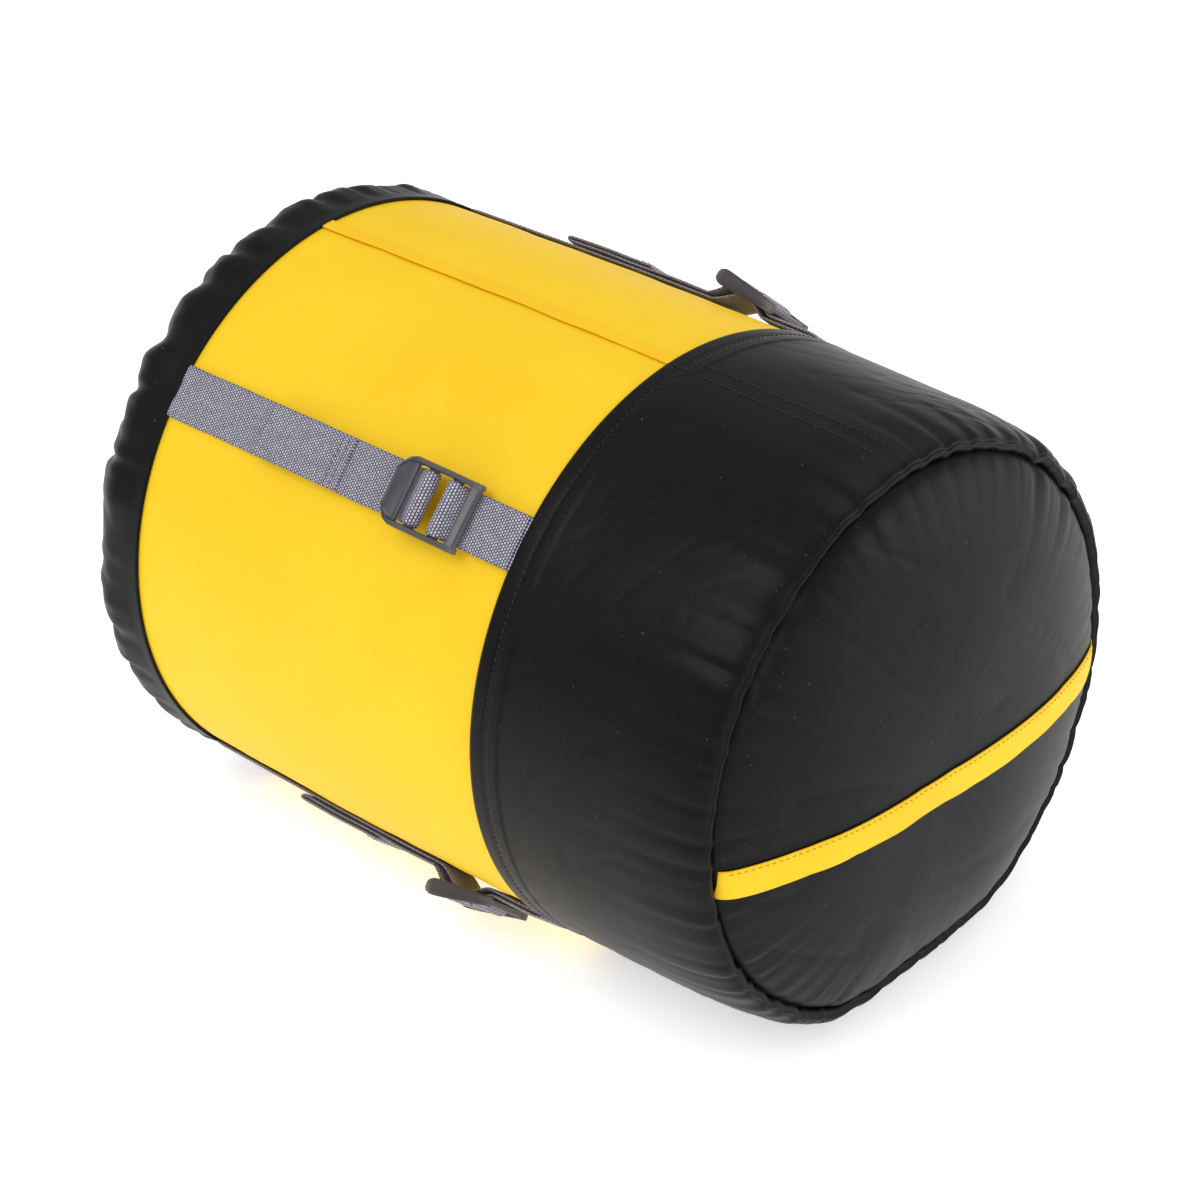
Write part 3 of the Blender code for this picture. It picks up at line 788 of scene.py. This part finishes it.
def buildCollar(setup):
    line = collarLine()
    wall = sack["wall"]
    count = len(line)
    sides = []
    for i in range(count):
        before = Vector(line[max(i - 1, 0)])
        after = Vector(line[min(i + 1, count - 1)])
        run = (after - before).normalized()
        sides.append(Vector((-run.y, run.x)))
    angles = around(setup["around"])
    points = []
    for top in (True, False):
        for i in (range(count) if top else reversed(range(count))):
            x, radius = line[i]
            normal = sides[i]
            back = mouthSeamX - x
            rise = smooth((back + 3 * mm) / (16 * mm))
            nearMouth = smooth((radius - setup["mouth"]) / (55 * mm))
            inChannel = 1 - smooth((radius - setup["mouth"] - 4 * mm) / (8 * mm))
            for angle in angles:
                phase = gatherPhase(angle)
                twist = phase + 0.10 * (1 - nearMouth) * math.sin(4 * angle)
                wave = math.cos(setup["pleats"] * twist + 0.8 * math.sin(setup["pleats"] * twist))
                height = setup["depth"] * rise * (0.8 + 1.3 * ruffle(angle, 0, 4.5, 12.0)) * wave
                height *= 1 - 0.7 * inChannel
                height *= 0.35 + 0.65 * nearMouth
                height += 0.8 * mm * rise * ruffle(angle, x * 2 + radius * 3, 18.0, 31.0)
                height -= 0.6 * mm * rise
                offset = height + (wall / 2 if top else -wall / 2)
                depth = 0.0 if top else wall
                reach = radius + normal.y * offset + depth
                points.append(ringPoint(x + normal.x * offset, reach, angle, depth))
    total = len(angles)
    faces = gridFaces(2 * count, total, True)
    last = (2 * count - 1) * total
    for j in range(total):
        k = (j + 1) % total
        faces.append((last + j, last + k, k, j))
    collar = meshObject("collar_fabric", points, faces)
    fixNormals(collar)
    finish(collar, "black")
    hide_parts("collar")
    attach(collar, "mouth")


buildCollar(collarSetup)
print("collar done")


# Straps
strapSetup = {
    "width": 20 * mm,
    "wall": 1.2 * mm,
    "gap": 0.3 * mm,
    "tilt": math.radians(10),      # the ladder lock's lean, tab end up
    "hemToLock": 21 * mm,
    "tailEnd": 54 * mm,            # collar seam to the folded end of the tail
    "tailFlap": 41 * mm,           # end folded back and sewn
    "fixedBar": 9.6 * mm,          # from the lock's hem end
    "middleBar": 19.7 * mm,
    "fixedHalf": 1.7 * mm,
    "middleHalf": 1.6 * mm,
}


lockSetup = {
    "edgeRound": 0.3 * mm,
    "sharp": math.radians(28),     # edges sharper than this are rounded
}


def layer(x, number):
    turn = strapSetup["wall"] + strapSetup["gap"]
    return tubeRadius(x) + strapSetup["gap"] + strapSetup["wall"] / 2 + number * turn


def arc(centre, radius, start, end, steps):
    angles = [math.radians(q) for q in spread(start, end, steps)]
    return [(centre[0] + radius * math.cos(q), centre[1] + radius * math.sin(q)) for q in angles]


# The same route with its corners rounded and points evenly spaced.
def smoothPath(path, spacing=0.7 * mm):
    dense = []
    for first, second in zip(path, path[1:]):
        steps = max(int(math.dist(first, second) / spacing), 1)
        for k in range(steps):
            t = k / steps
            dense.append((first[0] + (second[0] - first[0]) * t, first[1] + (second[1] - first[1]) * t))
    dense.append(path[-1])
    for _ in range(3):
        dense = [dense[0]] + [((a[0] + 2 * b[0] + c[0]) / 4, (a[1] + 2 * b[1] + c[1]) / 4)
                              for a, b, c in zip(dense, dense[1:], dense[2:])] + [dense[-1]]
    return dense


def strapBand(name, path, angle, wobble, seed):
    setup = strapSetup
    return band(name, smoothPath(path), setup["width"], setup["wall"], angle, 0.0, 13, wobble, seed)


def buildStrap(number, angle):
    setup = strapSetup
    wall = setup["wall"]
    turn = wall + setup["gap"]
    pivotX = hemX - setup["hemToLock"] - setup["fixedBar"] * math.cos(setup["tilt"])
    legsTop = 2 * turn + setup["gap"] + 0.1 * mm
    rise = legsTop + setup["fixedBar"] * math.sin(setup["tilt"]) + 1.4 * mm * math.cos(setup["tilt"])
    pivot = (pivotX, tubeRadius(pivotX) + rise)
    reach = setup["middleBar"] - setup["fixedBar"]
    middle = (pivot[0] - reach * math.cos(setup["tilt"]), pivot[1] + reach * math.sin(setup["tilt"]))

    hem = hemX + 1.5 * mm
    ring = setup["fixedHalf"] + setup["gap"] + wall / 2
    path = [(hem, layer(hem, 0) - 0.25 * mm), (hemX - 4 * mm, layer(hemX, 0))]
    path += [(pivot[0] + 4 * mm, layer(pivot[0], 0))]
    path += arc(pivot, ring, 262, 8, 22)
    path += [(pivot[0] + 5.6 * mm, layer(pivot[0], 1) + 0.5 * mm)]
    path += [(pivot[0] + 8 * mm, layer(pivot[0], 1))]
    path += [(hemX - 4 * mm, layer(hemX, 1)), (hemX - 0.5 * mm, layer(hemX, 1) - 0.6 * mm)]
    loop = strapBand("anchor_webbing_%d" % number, path, angle, 0.12 * mm, number)
    finish(loop, "webbing")
    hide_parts("anchor_loop_%d" % number)
    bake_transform(loop)

    runEnd = middle[0] - 9 * mm
    path = [(x, layer(x, 0)) for x in spread(collarEdgeX - 0.5 * mm, runEnd, 60)]
    path[0] = (path[0][0], path[0][1] - 0.3 * mm)
    run = strapBand("run_webbing_%d" % number, path, angle, 0.25 * mm, number + 3)
    finish(run, "webbing")
    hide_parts("strap_run_%d" % number)
    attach(run, "sack")
    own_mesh(run)

    ring = setup["middleHalf"] + setup["gap"] + wall / 2
    tailStart = middle[0] - 12 * mm
    path = [(runEnd + 0.05 * mm, layer(runEnd, 0)), (runEnd + 3 * mm, layer(runEnd, 0) + 1.0 * mm)]
    path += arc(middle, ring, -60, 150, 20)
    path += [(tailStart + 3 * mm, layer(tailStart, 1) + 1.6 * mm)]
    path += [(tailStart + 0.05 * mm, layer(tailStart, 1))]
    wrap = strapBand("wrap_webbing_%d" % number, path, angle, 0.05 * mm, number + 6)
    finish(wrap, "webbing")
    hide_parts("strap_wrap_%d" % number)
    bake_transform(wrap)

    end = mouthSeamX + setup["tailEnd"]
    fold = (end + wall, layer(end, 1.5))
    flapEnd = end + setup["tailFlap"]
    path = [(x, layer(x, 1) + 0.25 * mm * math.sin((x - end) * 90) ** 2)
            for x in spread(tailStart, fold[0], 40)[:-1]]
    path += arc(fold, turn / 2, 270, 90, 9)
    path += [(x, layer(x, 2) + 0.2 * mm * math.sin((x - end) * 90) ** 2)
             for x in spread(fold[0] + 1 * mm, flapEnd, 26)]
    tail = strapBand("tail_webbing_%d" % number, path, angle, 0.15 * mm, number + 9)
    finish(tail, "webbing")
    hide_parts("strap_tail_%d" % number)
    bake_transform(tail)
    outward = Vector((0, math.cos(angle), math.sin(angle)))
    side = Vector((0, -math.sin(angle), math.cos(angle)))
    for row, place in enumerate((flapEnd - 2.4 * mm, flapEnd - 5.4 * mm)):
        radius = layer(place, 2) + wall / 2 + 0.25 * mm
        centre = Vector((place, 0, axisZ)) + outward * radius
        path = [centre + side * v for v in spread(-9 * mm, 9 * mm, 12)]
        stitches("tail_stitches_%d_%d" % (number, row), path, [outward] * len(path), "greyThread",
                 "strap_end_%d" % number, 2.0 * mm, 0.5 * mm, 0.2 * mm)
    roundedLock(number)


# The ladder lock's own solid with every moulded edge rounded over.
def roundedLock(number):
    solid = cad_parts["ladder_lock_%d" % number]
    tool = bmesh.new()
    tool.from_mesh(solid.data)
    bmesh.ops.remove_doubles(tool, verts=tool.verts, dist=0.01 * mm)
    bmesh.ops.dissolve_limit(tool, angle_limit=math.radians(2), verts=tool.verts, edges=tool.edges)
    edges = [edge for edge in tool.edges if edge.calc_face_angle(0) > lockSetup["sharp"]]
    bmesh.ops.bevel(tool, geom=edges, offset=lockSetup["edgeRound"], segments=3, profile=0.5,
                    affect="EDGES", clamp_overlap=True)
    mesh = bpy.data.meshes.new("lock_frame_%d" % number)
    tool.to_mesh(mesh)
    tool.free()
    mesh.shade_smooth()
    mesh.set_sharp_from_angle(angle=math.radians(50))
    lock = bpy.data.objects.new("lock_frame_%d" % number, mesh)
    bpy.context.collection.objects.link(lock)
    finish(lock, "lock")
    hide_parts("ladder_lock_%d" % number)
    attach(lock, "buckle_%d" % number)


for strapNumber, strapAngle in enumerate(strapAngles, 1):
    buildStrap(strapNumber, strapAngle)
print("straps done")


# Cord and cord lock

finish(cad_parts["drawcord"], "cord")
finish(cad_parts["cord_knot"], "cord")
finish(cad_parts["cord_lock_barrel"], "cordLock")
finish(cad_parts["cord_lock_button"], "cordLock")

springSetup = {
    "wire": 0.3 * mm,       # wire radius
    "turns": 3,
    "travel": 4 * mm,       # how far the button presses it
}


def buildSpring(setup):
    low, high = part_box("cord_lock_spring")
    centre = (low + high) / 2
    coil = (high.x - low.x) / 2 - setup["wire"]
    rows = 1 + 32 * setup["turns"]
    ends = (low.y + setup["wire"], high.y - setup["wire"])
    points = []
    for k, y in enumerate(spread(*ends, rows)):
        angle = 2 * math.pi * k / 32
        out = Vector((math.cos(angle), 0, math.sin(angle)))
        hub = Vector((centre.x, y, centre.z)) + coil * out
        for q in around(10):
            points.append(hub + setup["wire"] * (math.cos(q) * out + math.sin(q) * Vector((0, 1, 0))))
    faces = gridFaces(rows, 10, True)
    faces.append(tuple(reversed(range(10))))
    faces.append(tuple(range((rows - 1) * 10, rows * 10)))
    spring = meshObject("lock_spring_coil", points, faces)
    fixNormals(spring)
    finish(spring, "wire")
    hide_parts("cord_lock_spring")
    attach(spring, "mouth")
    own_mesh(spring)


buildSpring(springSetup)
print("cord lock done")


# Studio
studioSetup = {
    "floorGlow": 0.5,
    "sky": 0.62,
    "lights": {                  # place in metres, size in metres, watts
        "key": ((-0.3, -1.2, 1.8), 1.2, 14),
        "fill": ((1.7, -0.9, 1.0), 1.0, 7),
        "top": ((0.2, 0.9, 2.0), 1.4, 8),
        "side": ((1.5, 1.2, 0.4), 0.9, 7),
    },
}


def areaLight(name, place, size, power):
    light = bpy.data.objects.new(name, bpy.data.lights.new(name, "AREA"))
    light.data.size = size
    light.data.energy = power
    light.location = place
    light.rotation_euler = (Vector((0, 0, 0.1)) - light.location).to_track_quat("-Z", "Y").to_euler()
    bpy.context.collection.objects.link(light)


def buildStudio():
    floorMaterial, floorShader = newMaterial("white studio paper")
    place = addNode(floorMaterial, "TexCoord").outputs["Object"]
    fibre = addNode(floorMaterial, "TexNoise", {"Vector": place, "Scale": 60.0})
    tint = colorRamp(floorMaterial, fibre.outputs[0], [(0.0, linear("#f4f4f4")), (1.0, linear("#fafafa"))])
    link(floorMaterial, tint, floorShader.inputs["Base Color"])
    floorShader.inputs["Roughness"].default_value = 0.9
    floorShader.inputs["Emission Color"].default_value = linear("#ffffff")
    floorShader.inputs["Emission Strength"].default_value = studioSetup["floorGlow"]
    corners = [Vector((x, y, -0.0004)) for x, y in ((-4, -4), (4, -4), (4, 4), (-4, 4))]
    floor = meshObject("floor", corners, [(0, 1, 2, 3)])
    floor.data.materials.append(floorMaterial)
    world = bpy.data.worlds.new("studio")
    world.use_nodes = True
    world.node_tree.nodes["Background"].inputs["Color"].default_value = linear("#ffffff")
    world.node_tree.nodes["Background"].inputs["Strength"].default_value = studioSetup["sky"]
    bpy.context.scene.world = world
    for name, (place, size, power) in studioSetup["lights"].items():
        areaLight(name, Vector(place), size, power)
    # Dyes and whites keep their own hex values
    bpy.context.scene.view_settings.view_transform = "Standard"


buildStudio()
print("studio done")
